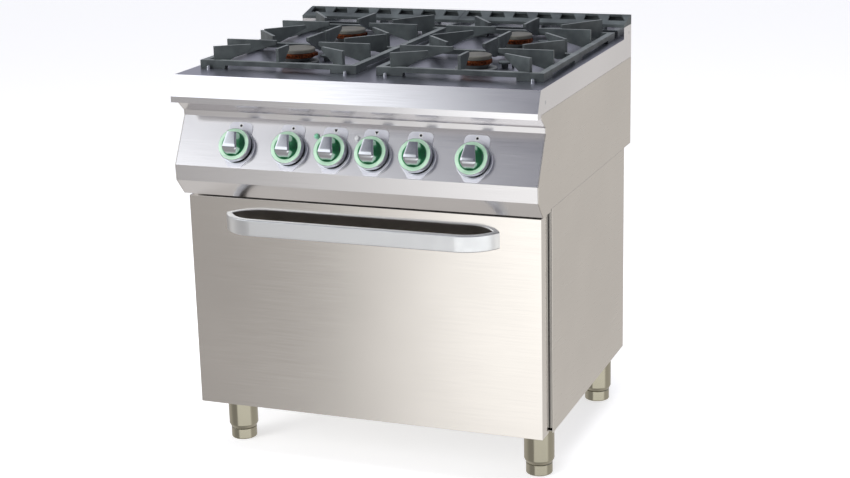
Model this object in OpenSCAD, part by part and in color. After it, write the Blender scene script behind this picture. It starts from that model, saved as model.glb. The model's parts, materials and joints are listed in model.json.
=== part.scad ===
// Free-standing commercial range: four gas burners on a hob module over an electric oven.
// Every profile below is drawn with y = 0 at the front lip of the worktop, +y to the back and
// z = 0 on the floor. place() then moves each piece so that the row's origin is the centre of
// the whole object's base.

/* [Overall] */
// Width over the side panels
body_w = 800; // [700:1:1000]
// Depth from the worktop lip to the back panel
body_d = 730; // [690:1:900]
// Height of the cooking surface above the floor
top_z = 852.4; // [800:1:950]
// Height of the feet and legs under the cabinet
leg_h = 117.3; // [90:1:160]

/* [Sheet metal] */
// Worktop sheet
top_t = 2; // [1.5:0.1:3]
// Panel sheet
sheet_t = 1.5; // [1:0.1:2]
// Gap left where two panels meet
seam = 0.3; // [0.2:0.1:0.8]

/* [Worktop] */
// Depth of the sloped nosing behind the lip
nose_d = 21.2; // [10:0.1:30]
// Height of the sloped nosing
nose_h = 42.9; // [30:0.1:60]
// Height of the vertical lip under the nosing
lip_h = 12.7; // [8:0.1:20]
// Depth of the return under the lip
lip_return = 22.6; // [15:0.1:30]
// Height of the side skirt below the cooking surface
skirt_h = 49.4; // [40:0.1:60]
// Depth of the rear upstand and of the flue under it
upstand_d = 64; // [50:1:90]
// Height of the rear upstand
upstand_h = 26.6; // [20:0.1:60]
// Radius of the skirt screw holes
skirt_hole_r = 2.2; // [1.6:0.1:3]
// Radius of the countersunk screw heads
screw_head_r = 4; // [3.5:0.1:5]

/* [Control panel] */
// Depth of the shadow recess above the panel
recess_d = 30.1; // [20:0.1:40]
// Height of the shadow recess
recess_h = 25.2; // [15:0.1:35]
// Height of the short step between the recess and the panel
panel_step = 11.2; // [5:0.1:15]
// Height of the sloped face
panel_h = 96.7; // [90:0.1:140]
// How far the sloped face leans back over that height
panel_lean = 53.5; // [30:0.1:70]
// Height of the upright band under the sloped face
band_h = 33.3; // [20:0.1:50]
// Height of the tucked-in chamfer under the band
chamfer_h = 35.9; // [20:0.1:45]
// Depth of the tucked-in chamfer
chamfer_d = 31.6; // [20:0.1:40]

/* [Knobs] */
// Distance from the middle to the two oven knobs, the inner and the outer burner knobs
knob_x = [45, 141, 261];
// Height of the knob axes up the sloped face
knob_up = 46; // [42:0.5:60]
// Radius of the knob skirt
knob_r = 35; // [30:0.5:38]
// Inner radius of the coloured face ring
ring_r = 26; // [22:0.5:29]
// Height of the face ring above the panel
knob_face = 22; // [20:0.5:26]
// Height of the bar grip above the panel
grip_h = 41; // [36:0.5:46]
// Width of the grip at its pointing end
grip_w_top = 21; // [16:0.5:26]
// Width of the grip at its lower end
grip_w_low = 32; // [24:0.5:38]
// Gap between knob skirt and collar, taken up when a burner knob is pushed
knob_gap = 4.5; // [4:0.1:6]
// Radius of the spindle
spindle_r = 4; // [3:0.5:5]
// Running clearance of turning pieces, on the radius
run_fit = 0.05; // [0.02:0.01:0.1]
// Radius of the collar under each knob
collar_r = 38; // [36:0.5:40]

/* [Lamps] */
// Lamp offset to the left of its knob
lamp_left = 41; // [38:0.5:44]
// Lamp height up the sloped face
lamp_up = 79; // [70:0.5:85]
// Radius of the lamp lens
lamp_r = 6; // [4:0.5:8]

/* [Burners] */
// Distance of the burners from the middle line
burner_x = 202; // [180:1:230]
// Distance of the front burners from the lip
burner_front = 212; // [200:1:240]
// Distance between front and rear burners
burner_pitch = 281; // [260:1:300]
// Crown radius of the two left burners
crown_big = 38; // [34:0.5:42]
// Crown radius of the two right burners
crown_small = 34; // [30:0.5:40]
// Height of the crown's base above the worktop
crown_up = 13.6; // [10:0.1:20]
// Height of the crown
crown_h = 10; // [8:0.5:14]
// Height of the cap above the crown
cap_h = 9; // [6:0.5:12]
// Radius of the gas passage in the crown
throat_r = 20; // [16:0.5:24]
// Gap under pieces that lift off
lift_gap = 0.3; // [0.2:0.1:0.6]

/* [Pan supports] */
// Width of one double pan support
grate_w = 359; // [330:1:375]
// Distance from the lip to the pan supports
grate_front = 104; // [95:1:120]
// Depth of a pan support
grate_d = 549; // [500:1:552]
// Width of the frame bars
bar_w = 14; // [10:0.5:20]
// Height of the frame's upper face above the worktop
bar_top = 17.6; // [14:0.1:24]
// Height of the frame bars
bar_h = 10; // [8:0.5:12]
// Height of the finger tops above the worktop
finger_top = 46.6; // [38:0.1:56]
// Thickness of the fingers
finger_t = 6.5; // [5:0.5:9]
// Height of a finger at its tip
finger_tip = 8; // [5:0.5:12]
// Radius kept free of fingers over each burner
finger_clear = 50; // [46:1:60]
// Sideways distance from a burner to the outer end of its slanted fingers
slant_out = 150; // [130:1:165]
// Sideways distance from a burner to the tips of its slanted fingers
slant_in = 84; // [70:1:100]
// Front-to-back distance from a burner to the tips of its slanted fingers
slant_near = 58; // [35:1:70]
// Side of the foot blocks
foot_block = 58; // [30:1:70]
// Radius of the locating pegs
peg_r = 4; // [3:0.5:5]

/* [Flue grille] */
// Height of the flue grille
grille_h = 21; // [16:0.1:40]
// Wall of the cast grille
grille_t = 5; // [4:0.5:7]
// Number of openings in each half
grille_n = 7; // [5:1:8]

/* [Oven] */
// Inner width of the oven
oven_w = 690; // [670:1:700]
// Inner height of the oven
oven_h = 300; // [260:1:320]
// Inner depth of the oven
oven_d = 541; // [535:1:545]
// Height of the oven floor above the cabinet base
oven_up = 97; // [90:1:110]
// Liner sheet
liner_t = 1.2; // [1:0.1:1.5]
// Insulation thickness round the oven
wool_t = 28; // [20:1:30]
// Distance from the lip to the cabinet front
cabinet_front = 92; // [90:1:100]
// How far the hob module overhangs the cabinet at the back
overhang = 58; // [50:1:80]
// Height of the cabinet below the hob module
cabinet_h = 482.4; // [460:0.1:520]
// Shelf width, a double gastronorm tray
shelf_w = 650; // [640:1:660]
// Shelf depth
shelf_d = 530; // [520:1:532]

/* [Door] */
// Distance from the lip to the door's face
door_front = 41; // [36:0.5:46]
// Thickness of the door
door_t = 44; // [38:0.5:46]
// Gap between the door's edge and the cabinet's side
door_edge = 7.2; // [4:0.1:10]
// Gap above the door
door_gap = 11.1; // [8:0.1:16]
// Height of the hinge pin above the door's lower edge
hinge_up = 7; // [6:0.5:9]
// Radius of the hinge pin
hinge_pin_r = 4; // [3:0.5:5]
// Distance of the hinges from the middle line
hinge_x = 350; // [330:1:360]

/* [Handle] */
// Length over the ends
handle_w = 612; // [500:1:700]
// Height of the band
handle_h = 35; // [28:0.5:45]
// Thickness of the band
handle_t = 14; // [8:0.5:18]
// How far the handle stands out of the door
handle_out = 53; // [45:0.5:60]
// Distance from the door's top to the handle's middle
handle_down = 49; // [40:0.5:80]
// Outer radius of the bend at each end of the handle, which meets the door at a slant
handle_bend = 85; // [60:1:120]

/* [Legs] */
// Distance of the legs from the middle line
leg_x = 350.7; // [300:0.1:360]
// Distance from the lip to the front legs
leg_front = 153; // [140:1:180]
// Distance between front and rear legs
leg_pitch = 467; // [420:1:480]
// Radius of the leg tube
leg_r = 32.7; // [25:0.1:38]
// Radius of the adjustable foot
foot_r = 28.7; // [20:0.1:30]
// Height of the foot that shows under the tube
foot_h = 25; // [20:0.5:35]
// Radius of the foot's threaded stem
stem_r = 14; // [10:0.5:18]
// Height of the threaded bush in the tube's lower end
bush_h = 18; // [12:0.5:25]

/* [Services] */
// Outer radius of the half-inch gas pipe thread
gas_r = 10.48; // [8:0.01:14]
// Length of the gas pipe thread
gas_thread = 20; // [15:1:30]
// Bore radius of the cable gland
gland_r = 6; // [5:0.1:8]

/* [Hidden] */
$fn = 48;

steel = "#c8c9cc";
steel_warm = "#bdb9b3";
iron = "#3a3d3e";
chrome = "#dfe2e6";

half_w = body_w / 2;
inner_w = half_w - sheet_t - seam;
lip_top = top_z - nose_h;
lip_low = lip_top - lip_h;
skirt_low = top_z - skirt_h;
upstand_y = body_d - upstand_d;
ledge_z = top_z + upstand_h;
hob_low = leg_h + cabinet_h;

skirt_holes = [[51.4, skirt_low + 20], [body_d - 20, top_z + 9.3]];
tab_x = half_w - top_t - seam;
screw_fit = 0.1;

recess_top = [lip_return, lip_low];
recess_low = [lip_return + recess_d, lip_low - recess_h];
panel_top = [recess_low[0] + 1, recess_low[1] - panel_step];
panel_low = [panel_top[0] - panel_lean, panel_top[1] - panel_h];
band_low = [panel_low[0] + 1.6, panel_low[1] - band_h];
tuck_low = [band_low[0] + chamfer_d, band_low[1] - chamfer_h];
panel_return = 52;
panel_outline = [
  [tuck_low[0] + panel_return, tuck_low[1]], tuck_low, band_low, panel_low,
  panel_top, recess_low, recess_top + [1.2, -1]
];
lean = atan(panel_lean / panel_h);

knob_places = [
  -knob_x[2], -knob_x[1], -knob_x[0], knob_x[0], knob_x[1], knob_x[2]
];
gas_knobs = [0, 1, 4, 5];
oven_knobs = [2, 3];
collar_top = 5;
skirt_under = collar_top + knob_gap;
nose_r = grip_h - knob_face - 2;
grip_reach = 24;
panel_hole_r = spindle_r + 2;
tap_near = -22;
tap_far = -62;
tap_r = 16;
plug_r = 8;
spindle_in = -38;
rail_side = 24;
control_side = 44;

// The grip's lower edge is the piece that stands furthest forward.
front_y = panel_low[0] + (knob_up - grip_reach + nose_r) * sin(lean)
  - (grip_h - nose_r) * cos(lean) - nose_r;
mid_y = (front_y + body_d) / 2;

burner_rear = burner_front + burner_pitch;
burner_places = [
  [-burner_x, burner_front, crown_big], [-burner_x, burner_rear, crown_big],
  [burner_x, burner_rear, crown_small], [burner_x, burner_front, crown_small]
];
crown_z = top_z + crown_up;
cap_z = crown_z + crown_h + lift_gap;
flange_r = 50;
flange_h = 3.5;
cup_r = 33;
cup_low = top_z - 55;
mixer_z = cup_low + 18;
mixer_r = 11;
mixer_l = 58;
well_r = cup_r + 2;
tube_r = 4;
tap_knob = [0, 1, 4, 5];

door_low = leg_h + 1.8;
door_high = hob_low - door_gap;
door_half = half_w - door_edge;
door_back = door_front + door_t;
hinge_y = door_back + 3.5;
hinge_z = door_low + hinge_up;
hinge_half = 13;
cabinet_back_y = body_d - overhang;
base_z = leg_h + sheet_t;
oven_low = base_z + oven_up;
oven_front_y = cabinet_front + sheet_t + seam;
grate_x = burner_x;
grate_low = top_z + lift_gap;

// Points of a bent strip of thickness t, to the right of the path p.
function unit(v) = v / norm(v);
function right_of(v) = [v[1], -v[0]];
function side_at(p, i) =
  let(a = right_of(unit(p[max(i, 1)] - p[max(i, 1) - 1])))
  let(b = right_of(unit(p[min(i + 1, len(p) - 1)] - p[min(i, len(p) - 2)])))
  (a + b) / (1 + a * b);
function strip(p, t) = concat(
  p, [for (i = [len(p) - 1 : -1 : 0]) p[i] + t * side_at(p, i)]
);

// Moves a piece from the drawing's frame to the row's frame.
module place() {
  translate([0, -mid_y, 0]) children();
}

// A profile in y and z, made w wide about x = x0.
module across(w, x0 = 0) {
  translate([x0 - w / 2, 0, 0]) rotate([90, 0, 90]) linear_extrude(w) children();
}

module block(x0, x1, y0, y1, z0, z1) {
  translate([x0, y0, z0]) cube([x1 - x0, y1 - y0, z1 - z0]);
}

// Local frame of the sloped panel: x across, y up the face, z out of the face.
module on_panel(x = 0, up = 0) {
  translate([x, panel_low[0], panel_low[1]]) rotate([90 - lean, 0, 0]) translate([0, up, 0]) children();
}

module rod(a, b, r) {
  d = b - a;
  translate(a) rotate([0, acos(d[2] / norm(d)), atan2(d[1], d[0])]) cylinder(h = norm(d), r = r);
}

// Direction of a path's stretch i, the angle it turns through at point i, and how much of the
// straight stretch a bend of radius bend takes there.
function heading(path, i) = unit(path[i + 1] - path[i]);
function turn(path, i) = acos(heading(path, i - 1) * heading(path, i));
function taken(path, i, bend) = i == 0 || i == len(path) - 1 ? 0 : bend * tan(turn(path, i) / 2);

// A pipe along a path, with a round elbow fitting at each corner that the stretches end in.
module piped(path, r) {
  elbow_r = 1.6 * r;
  set_in = 1.1 * r;
  last = len(path) - 2;
  for (i = [0 : last]) rod(
    path[i] + heading(path, i) * (i == 0 ? 0 : set_in),
    path[i + 1] - heading(path, i) * (i == last ? 0 : set_in), r
  );
  for (i = [1 : last]) translate(path[i]) sphere(r = elbow_r);
}

// A round bar bent along a path: straight stretches joined by bends of one radius.
module bent_bar(path, r, bend) {
  for (i = [0 : len(path) - 2]) rod(
    path[i] + heading(path, i) * taken(path, i, bend),
    path[i + 1] - heading(path, i) * taken(path, i + 1, bend), r
  );
  for (i = [1 : len(path) - 2]) {
    u = heading(path, i - 1);
    v = heading(path, i);
    w = unit(v - (u * v) * u);
    n = cross(u, w);
    o = path[i] - u * taken(path, i, bend) + w * bend;
    multmatrix([
      [-w[0], u[0], n[0], o[0]], [-w[1], u[1], n[1], o[1]], [-w[2], u[2], n[2], o[2]], [0, 0, 0, 1]
    ]) rotate_extrude(angle = turn(path, i)) translate([bend, 0]) circle(r = r);
  }
}

// ---- hob module ----

module worktop() {
  path = [
    [lip_return, lip_low], [0, lip_low], [0, lip_top], [nose_d, top_z],
    [upstand_y, top_z], [upstand_y, ledge_z], [body_d, ledge_z]
  ];
  side = [
    [0, lip_low], [0, lip_top], [nose_d, top_z], [upstand_y, top_z], [upstand_y, ledge_z],
    [body_d, ledge_z], [body_d, skirt_low], [lip_return, skirt_low], [lip_return, lip_low]
  ];
  color(steel) place() difference() {
    union() {
      across(body_w - 2 * top_t) polygon(strip(path, top_t));
      for (s = [-1, 1]) across(top_t, s * (half_w - top_t / 2)) polygon(side);
      for (b = burner_places) translate([b[0], b[1], top_z - 1]) cylinder(h = 2.5, r = well_r + 4);
    }
    for (b = burner_places) translate([b[0], b[1], top_z - 10]) cylinder(h = 20, r = well_r);
    block(-half_w + 22, half_w - 22, upstand_y + 10, body_d - 10, ledge_z - 10, ledge_z + 10);
    for (s = [-1, 1]) for (h = skirt_holes) skirt_hole(s, h);
  }
}

// Axis frame of a skirt screw: z = 0 at the skirt's outer face, z out of the side.
module at_skirt(s, h) {
  translate([s * half_w, h[0], h[1]]) rotate([0, s * 90, 0]) children();
}

module skirt_hole(s, h) {
  at_skirt(s, h) {
    translate([0, 0, -20]) cylinder(h = 30, r = skirt_hole_r);
    translate([0, 0, -top_t]) cylinder(h = top_t + 0.01, r1 = skirt_hole_r, r2 = screw_head_r + screw_fit);
  }
}

module control_panel() {
  color(steel) place() difference() {
    across(2 * inner_w) polygon(strip(panel_outline, sheet_t));
    for (x = knob_places) on_panel(x, knob_up) translate([0, 0, -5]) cylinder(h = 10, r = panel_hole_r);
    for (x = lamp_places) on_panel(x, lamp_up) translate([0, 0, -5]) cylinder(h = 10, r = lamp_r - 1);
  }
}

lamp_places = [-knob_x[0] - lamp_left, knob_x[0] - lamp_left];

module hob_side(s) {
  outline = [
    tuck_low, band_low, panel_low, panel_top, recess_low, recess_top + [1.2, -1],
    [lip_return + 1.2, skirt_low - seam], [body_d, skirt_low - seam], [body_d, hob_low],
    [tuck_low[0] + panel_return, hob_low], [tuck_low[0] + panel_return, tuck_low[1]]
  ];
  fold_z = skirt_low - seam - 4;
  fold_y = lip_return + 3;
  back_y = body_d - sheet_t - seam;
  color(steel_warm) place() {
    across(sheet_t, s * (half_w - sheet_t / 2)) polygon(outline);
    across(half_w - tab_x + sheet_t, s * (half_w + tab_x - sheet_t) / 2)
      polygon([[fold_y, fold_z], [back_y, fold_z], [back_y, fold_z + sheet_t], [fold_y, fold_z + sheet_t]]);
    difference() {
      across(sheet_t, s * (tab_x - sheet_t / 2)) polygon([
        [fold_y, fold_z], [back_y, fold_z], [back_y, skirt_holes[1][1] + 9],
        [skirt_holes[1][0] - 18, skirt_holes[1][1] + 9], [skirt_holes[1][0] - 18, skirt_holes[0][1] + 12],
        [fold_y, skirt_holes[0][1] + 12]
      ]);
      for (h = skirt_holes) skirt_hole(s, h);
    }
  }
}

module hob_side_left() {
  hob_side(-1);
}

module hob_side_right() {
  hob_side(1);
}

module hob_back() {
  color(steel_warm) place() difference() {
    block(-inner_w + 0.5, inner_w - 0.5, body_d - sheet_t, body_d, hob_low, ledge_z - top_t - seam);
    for (s = [-1, 1]) block(s * half_w - 4, s * half_w + 4, body_d - 5, body_d + 5, skirt_low - 1, ledge_z);
  }
}

gas_down = [330, body_d - 30];
gas_low = hob_low - 35;

module hob_tray() {
  color(steel_warm) place() difference() {
    block(-inner_w, inner_w, tuck_low[0] + panel_return + seam, body_d - sheet_t - seam, hob_low, hob_low + sheet_t);
    translate([gas_down[0], gas_down[1], hob_low - 5]) cylinder(h = 10, r = gas_r + 1);
    for (i = [-2 : 2]) block(i * 130 - 40, i * 130 + 40, 240, 260, hob_low - 5, hob_low + 5);
  }
}

duct_low = hob_low + 100;
duct_wall = 1;

module flue_duct() {
  x = half_w - 18;
  y0 = upstand_y + top_t + 1;
  y1 = body_d - sheet_t - seam;
  z1 = ledge_z - top_t - seam;
  color(steel_warm) place() difference() {
    block(-x, x, y0, y1, duct_low, z1);
    block(-x + duct_wall, x - duct_wall, y0 + duct_wall, y1 - duct_wall, duct_low - 1, z1 + 1);
  }
}

// One half of the cast flue grille: a hood with slanted openings near its upper edge.
module flue_grille(s) {
  z0 = ledge_z + lift_gap;
  z1 = ledge_z + grille_h;
  front = 6.5;
  flat = 6;
  t = grille_t;
  outer = [
    [upstand_y, z0], [upstand_y, z0 + front], [body_d - flat, z1], [body_d, z1], [body_d, z0]
  ];
  inner = [
    [upstand_y + t, z0 - 1], [upstand_y + t, z0 + front - t * 0.8],
    [body_d - flat - 1, z1 - t], [body_d - t, z1 - t], [body_d - t, z0 - 1]
  ];
  w = half_w - 0.4;
  pitch = w / grille_n;
  color(iron) place() difference() {
    across(w, s * (0.4 + w / 2)) polygon(outer);
    across(w - 2 * t, s * (0.4 + w / 2)) polygon(inner);
    for (i = [0 : grille_n - 1]) translate([s * (0.4 + w / 2) - w / 2 + (i + 0.5) * pitch, 0, z0 - 5])
      linear_extrude(40) polygon([
        [-16, upstand_y + 23], [24, upstand_y + 23], [8, body_d - 8], [-20, body_d - 8]
      ]);
  }
}

module flue_grille_left() {
  flue_grille(-1);
}

module flue_grille_right() {
  flue_grille(1);
}

// ---- burners ----

module burner_bases() {
  color(iron) place() for (b = burner_places) translate([b[0], b[1], 0]) difference() {
    union() {
      translate([0, 0, cup_low]) cylinder(h = top_z + 1.5 - cup_low, r = cup_r);
      translate([0, 0, top_z + 1.5]) cylinder(h = flange_h, r = flange_r - 6);
      rotate_extrude() polygon([
        [0, top_z + 5], [throat_r + 4, top_z + 5], [b[2] - 4, crown_z], [0, crown_z]
      ]);
      translate([0, -cup_r - mixer_l + 6, mixer_z]) rotate([-90, 0, 0]) cylinder(h = mixer_l, r = mixer_r);
    }
    translate([0, 0, cup_low + 4]) cylinder(h = 80, r = throat_r);
    translate([0, -cup_r - mixer_l, mixer_z]) rotate([-90, 0, 0]) cylinder(h = mixer_l + 20, r = mixer_r - 3);
  }
}

module burner_crowns() {
  color("#a9683f") place() for (b = burner_places) translate([b[0], b[1], crown_z]) rotate_extrude()
    polygon([
      [throat_r, 0], [b[2] - 1.5, 0], [b[2], 1.5], [b[2], crown_h - 1], [b[2] - 1, crown_h],
      [throat_r, crown_h]
    ]);
}

module burner_cap(i) {
  b = burner_places[i];
  r = b[2] - 1;
  c = 3;
  color(iron) place() translate([b[0], b[1], cap_z]) rotate_extrude() polygon(concat(
    [[0, -4], [throat_r - 1, -4], [throat_r - 1, 0], [r, 0]],
    [for (k = [0 : 15 : 90]) [r - c + c * cos(k), cap_h - c + c * sin(k)]],
    [[0, cap_h]]
  ));
}

module cap_front_left() {
  burner_cap(0);
}

module cap_rear_left() {
  burner_cap(1);
}

module cap_rear_right() {
  burner_cap(2);
}

module cap_front_right() {
  burner_cap(3);
}

pilot_at = [50, 38];
pilot_r = 14;

module pilot_burners() {
  color(iron) place() for (b = burner_places) translate([b[0] + pilot_at[0], b[1] + pilot_at[1], top_z]) {
    cylinder(h = 9, r = 7);
    translate([0, 0, 9]) cylinder(h = 4, r = pilot_r);
    translate([16, 6, 0]) cylinder(h = 12, r = 2.5);
  }
}

// ---- pan supports ----

// A finger from the frame at a to its tip at b, upright, with a rising underside.
module finger(a, b) {
  d = b - a;
  n = norm(d);
  z0 = top_z + bar_top - bar_h;
  z1 = top_z + finger_top;
  translate([a[0], a[1], 0]) rotate([0, 0, atan2(d[1], d[0])]) translate([0, finger_t / 2, 0])
    rotate([90, 0, 0]) linear_extrude(finger_t) polygon([
      [0, z0], [min(18, n / 3), z0], [n, z1 - finger_tip], [n, z1], [0, z1]
    ]);
}

module pan_support(s) {
  x0 = s * grate_x - grate_w / 2;
  x1 = s * grate_x + grate_w / 2;
  y0 = grate_front;
  y1 = grate_front + grate_d;
  ym = (burner_front + burner_rear) / 2;
  zb = top_z + bar_top - bar_h;
  zt = top_z + bar_top;
  cx = s * grate_x;
  edge = 12;
  color(iron) place() {
    difference() {
      block(x0, x1, y0, y1, zb, zt);
      block(x0 + bar_w, x1 - bar_w, y0 + bar_w, ym - bar_w / 2, zb - 1, zt + 1);
      block(x0 + bar_w, x1 - bar_w, ym + bar_w / 2, y1 - bar_w, zb - 1, zt + 1);
    }
    for (x = [x0, x1 - bar_w]) for (y = [y0, ym - foot_block / 2, y1 - foot_block])
      block(x, x + bar_w, y, y + foot_block, grate_low, zb + 0.01);
    for (x = [x0, x1 - foot_block]) for (y = [y0, y1 - bar_w])
      block(x, x + foot_block, y, y + bar_w, grate_low, zb + 0.01);
    for (by = [burner_front, burner_rear]) {
      front = by == burner_front ? y0 : ym;
      back = by == burner_front ? ym : y1;
      for (k = [-1, 1]) finger([cx + k * (grate_w / 2 - edge), by], [cx + k * finger_clear, by]);
      finger([cx, front + bar_w / 3], [cx, by - finger_clear]);
      finger([cx, back - bar_w / 3], [cx, by + finger_clear]);
      for (k = [-1, 1]) {
        finger([cx + k * slant_out, front + bar_w / 2], [cx + k * slant_in, by - slant_near]);
        finger([cx + k * slant_out, back - bar_w / 2], [cx + k * slant_in, by + slant_near]);
      }
    }
  }
}

module pan_support_left() {
  pan_support(-1);
}

module pan_support_right() {
  pan_support(1);
}

module locating_pegs() {
  color(chrome) place() for (s = [-1, 1]) for (k = [-1, 1])
    translate([s * grate_x + k * (grate_w / 2 - 22), grate_front - peg_r - 1.5, top_z]) {
      cylinder(h = peg_r, r = peg_r);
      translate([0, 0, peg_r]) sphere(r = peg_r);
    }
}

// ---- gas train ----

module gas_rail() {
  y = panel_low[0] + knob_up * sin(lean) + (rail_side / 2 - tap_far) * cos(lean);
  z = panel_low[1] + knob_up * cos(lean) - (rail_side / 2 - tap_far) * sin(lean);
  color("#8d8f90") place() {
    on_panel(0, knob_up) block(-300, gas_down[0] + 12, -rail_side / 2, rail_side / 2, tap_far - rail_side, tap_far);
    difference() {
      union() {
        piped([
          [gas_down[0], y, z], [gas_down[0], gas_down[1], z], [gas_down[0], gas_down[1], gas_low]
        ], gas_r - 1);
        translate([gas_down[0], gas_down[1], gas_low]) cylinder(h = gas_thread, r = gas_r);
      }
      translate([gas_down[0], gas_down[1], gas_low - 1]) cylinder(h = 60, r = gas_r - 3.5);
    }
  }
}

module gas_taps() {
  color("#b59b5a") place() for (i = gas_knobs) on_panel(knob_places[i], knob_up) difference() {
    union() {
      translate([0, 0, tap_far]) cylinder(h = tap_near - tap_far, r = tap_r);
      translate([0, tap_r + 10, -42]) rotate([90, 0, 0]) cylinder(h = 14, r = 7);
    }
    translate([0, 0, tap_far + 3]) cylinder(h = 60, r = plug_r + run_fit);
  }
}

module tap_plug(i) {
  color("#c9ad66") place() on_panel(knob_places[i], knob_up) difference() {
    translate([0, 0, tap_far + 3.5]) cylinder(h = tap_near - tap_far - 5, r = plug_r);
    translate([0, 0, spindle_in - 6]) cylinder(h = 60, r = spindle_r + run_fit);
  }
}

module tap_plug_1() {
  tap_plug(0);
}

module tap_plug_2() {
  tap_plug(1);
}

module tap_plug_5() {
  tap_plug(4);
}

module tap_plug_6() {
  tap_plug(5);
}

module gas_feed_tubes() {
  out = tap_r + 10.2;
  y0 = panel_low[0] + (knob_up + out) * sin(lean) + 42 * cos(lean);
  z0 = panel_low[1] + (knob_up + out) * cos(lean) - 42 * sin(lean);
  y1 = y0 + 12 * sin(lean);
  z1 = z0 + 12 * cos(lean);
  color("#b87333") place() for (k = [0 : 3]) {
    b = burner_places[k];
    x = knob_places[tap_knob[k]];
    end = b[1] - cup_r - mixer_l + 4;
    rear = b[1] > burner_front;
    run = rear ? end - 24 : y1;
    piped(concat(
      [[x, y0, z0], [x, y1, z1], [x, y1, mixer_z]], rear ? [[x, run, mixer_z]] : [],
      [[b[0], run, mixer_z], [b[0], end, mixer_z]]
    ), tube_r);
  }
}

module oven_controls() {
  color("#e8e4da") place() for (i = oven_knobs) on_panel(knob_places[i], knob_up) difference() {
    translate([-control_side / 2, -control_side / 2, -58]) cube([control_side, control_side, 38]);
    translate([0, 0, -50]) cylinder(h = 60, r = spindle_r + run_fit);
  }
}

// ---- knobs and lamps ----

module knob_bezels() {
  tab = 27;
  tab_top = 54;
  corner = 11;
  foot = 8;
  foot_low = -44;
  color(chrome) place() for (x = knob_places) on_panel(x, knob_up) difference() {
    union() {
      linear_extrude(1.5) union() {
        translate([-tab + corner, 0]) square([2 * (tab - corner), tab_top]);
        translate([-tab, 0]) square([2 * tab, tab_top - corner]);
        for (s = [-1, 1]) translate([s * (tab - corner), tab_top - corner]) circle(r = corner);
        polygon([[-collar_r + 6, -18], [-foot, foot_low], [foot, foot_low], [collar_r - 6, -18]]);
        circle(r = collar_r + 0.8);
      }
      translate([0, 0, 1.5]) rotate_extrude() polygon([
        [0, 0], [collar_r, 0], [collar_r, 1.2], [collar_r - 1, 1.2], [collar_r - 1, 2],
        [collar_r, 2], [collar_r - 0.5, collar_top - 1.5], [0, collar_top - 1.5]
      ]);
    }
    translate([0, 0, -5]) cylinder(h = 20, r = panel_hole_r);
  }
}

// A skirted knob: flat face ring, dished hollow and a wedge-shaped bar grip.
module knob(i) {
  dish = 6;
  color(chrome) place() on_panel(knob_places[i], knob_up) {
    rotate_extrude() polygon([
      [0, skirt_under + 3], [knob_r - 4, skirt_under + 3], [knob_r - 4, skirt_under],
      [knob_r - 0.5, skirt_under], [knob_r, skirt_under + 1.5], [knob_r, knob_face - 1.5],
      [knob_r - 1.5, knob_face], [ring_r, knob_face], [ring_r - 5, knob_face - dish],
      [0, knob_face - dish]
    ]);
    intersection() {
      rotate([90, 0, 90]) translate([0, 0, -30]) linear_extrude(60) union() {
        polygon([
          [-grip_reach + nose_r, skirt_under + 4], [grip_reach - 4, skirt_under + 4],
          [grip_reach - 4, grip_h - 4], [grip_reach - 7, grip_h], [-grip_reach + nose_r, grip_h]
        ]);
        intersection() {
          translate([-grip_reach + nose_r, grip_h - nose_r]) circle(r = nose_r);
          translate([-grip_reach, skirt_under + 4]) square([nose_r, 60]);
        }
        translate([-grip_reach + 3, skirt_under + 4]) square([nose_r, grip_h - nose_r - skirt_under - 4]);
      }
      linear_extrude(60) polygon([
        [-grip_w_low / 2, -grip_reach - 1], [grip_w_low / 2, -grip_reach - 1],
        [grip_w_low / 2, -10], [grip_w_top / 2, grip_reach], [-grip_w_top / 2, grip_reach],
        [-grip_w_low / 2, -10]
      ]);
      cylinder(h = 60, r = ring_r - 0.5);
    }
    translate([0, 0, spindle_in]) cylinder(h = skirt_under + 4 - spindle_in, r = spindle_r);
  }
}

module knob_1() {
  knob(0);
}

module knob_2() {
  knob(1);
}

module knob_3() {
  knob(2);
}

module knob_4() {
  knob(3);
}

module knob_5() {
  knob(4);
}

module knob_6() {
  knob(5);
}

module lamp(x) {
  on_panel(x, lamp_up) {
    cylinder(h = 2, r = lamp_r + 1);
    translate([0, 0, 2]) intersection() {
      translate([0, 0, -3]) sphere(r = lamp_r + 0.6);
      cylinder(h = 10, r = lamp_r + 1);
    }
    translate([0, 0, -16]) cylinder(h = 16, r = lamp_r - 1.2);
  }
}

module lamp_green() {
  color("#58b07a") place() lamp(lamp_places[0]);
}

module lamp_clear() {
  color("#e9eef0") place() lamp(lamp_places[1]);
}

// ---- cabinet and oven ----

module cabinet_side(s) {
  x = s * (half_w - sheet_t / 2);
  color(steel_warm) place() block(
    x - sheet_t / 2, x + sheet_t / 2, cabinet_front, cabinet_back_y, leg_h, hob_low - seam
  );
}

module cabinet_side_left() {
  cabinet_side(-1);
}

module cabinet_side_right() {
  cabinet_side(1);
}

gland_at = [-300, hob_low - 80];

module cabinet_back() {
  color(steel_warm) place() difference() {
    block(-inner_w, inner_w, cabinet_back_y - sheet_t, cabinet_back_y, base_z + seam, hob_low - seam);
    translate([gland_at[0], cabinet_back_y - 5, gland_at[1]]) rotate([-90, 0, 0]) cylinder(h = 10, r = gland_r + 4);
  }
}

base_front = cabinet_front + 8;
leg_places = [
  [-leg_x, leg_front], [leg_x, leg_front], [-leg_x, leg_front + leg_pitch],
  [leg_x, leg_front + leg_pitch]
];
stud_r = 5;

module cabinet_base() {
  color(steel_warm) place() difference() {
    block(-inner_w, inner_w, base_front, cabinet_back_y - sheet_t - seam, leg_h, base_z);
    for (p = leg_places) translate([p[0], p[1], leg_h - 5]) cylinder(h = 20, r = stud_r + 0.5);
  }
}

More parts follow.
